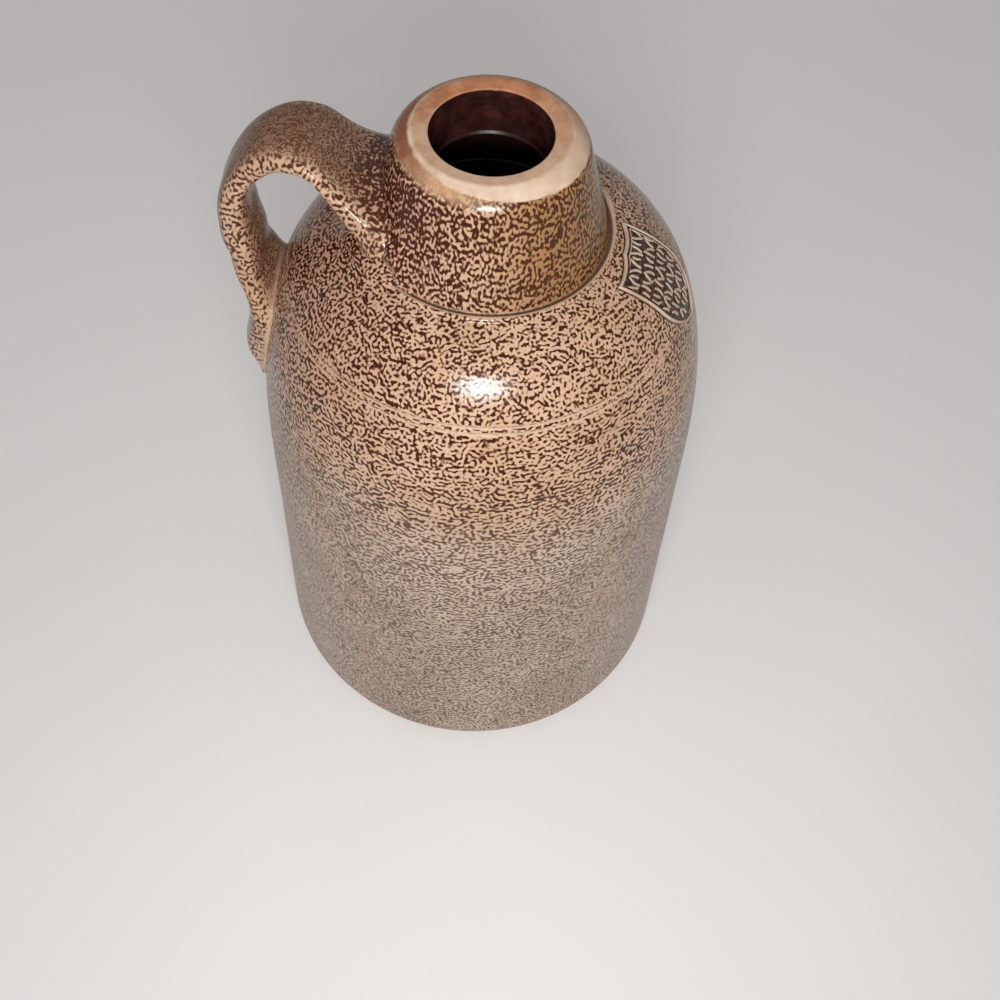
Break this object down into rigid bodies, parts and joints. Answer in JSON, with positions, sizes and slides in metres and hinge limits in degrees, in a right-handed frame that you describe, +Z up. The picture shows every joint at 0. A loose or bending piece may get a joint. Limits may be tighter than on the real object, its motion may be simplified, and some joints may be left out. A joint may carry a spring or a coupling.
{
  "type": "stoneware jug",
  "caption": "Salt-glazed stoneware jug with a broad round shoulder, a short tapered neck for a cork, a strap handle and a raised label tablet.",
  "frame": {"origin": "centre of the flat base", "axes": "+Z is up through the mouth, and -X points to the handle"},
  "size_m": [0.144, 0.144, 0.2272],
  "materials": {
    "salt_glazed_stoneware": "glossy",
    "label_clay": "glossy"
  },
  "bodies": {
    "root": {"lower_body": "salt_glazed_stoneware", "shoulder": "salt_glazed_stoneware", "neck": "salt_glazed_stoneware", "handle": "salt_glazed_stoneware", "label_pad": "label_clay"}
  },
  "joints": []
}
